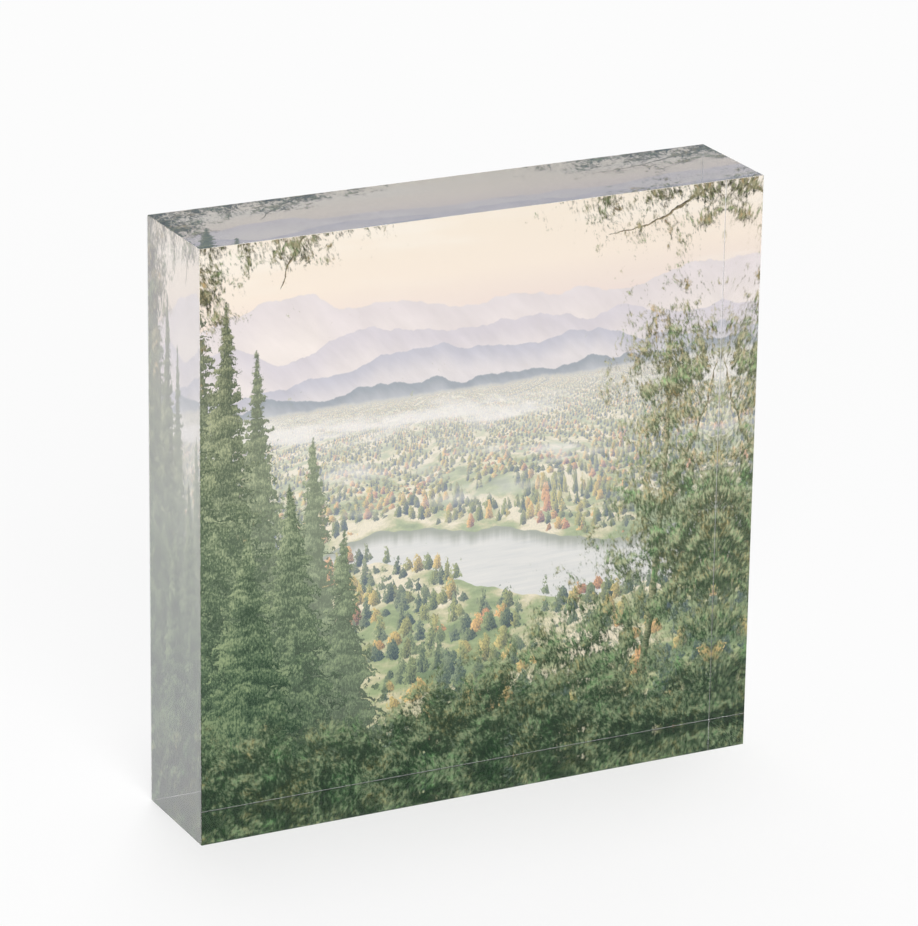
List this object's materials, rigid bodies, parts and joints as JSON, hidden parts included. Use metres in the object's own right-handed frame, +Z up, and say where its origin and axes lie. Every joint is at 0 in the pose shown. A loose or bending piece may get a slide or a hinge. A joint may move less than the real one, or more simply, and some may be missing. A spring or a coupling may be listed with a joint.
{
  "type": "acrylic photo block",
  "caption": "Free-standing square photo block: a thick clear acrylic slab with a photo print bonded to its back and a backing sheet over it.",
  "frame": {"origin": "middle of the footprint: under the centre of the width and of the whole depth, slab and laminate together, at the face it stands on", "axes": "+Z up; the picture faces -Y, so the viewer stands on the -Y side, +X is the picture's right and +Y points out of the backing sheet"},
  "size_m": [0.15, 0.0306, 0.15],
  "materials": {
    "clear_acrylic": "clear cast acrylic, all faces and edges polished",
    "clear_adhesive": "optically clear double-sided mounting film",
    "photo_paper": null,
    "white_adhesive": "double-sided adhesive film",
    "backing_vinyl": "matt white vinyl sheet with a fine grain"
  },
  "bodies": {
    "root": {"acrylic_slab": "clear_acrylic", "mounting_film": "clear_adhesive", "photo_print": "photo_paper", "sealing_film": "white_adhesive", "backing_sheet": "backing_vinyl"}
  },
  "joints": []
}
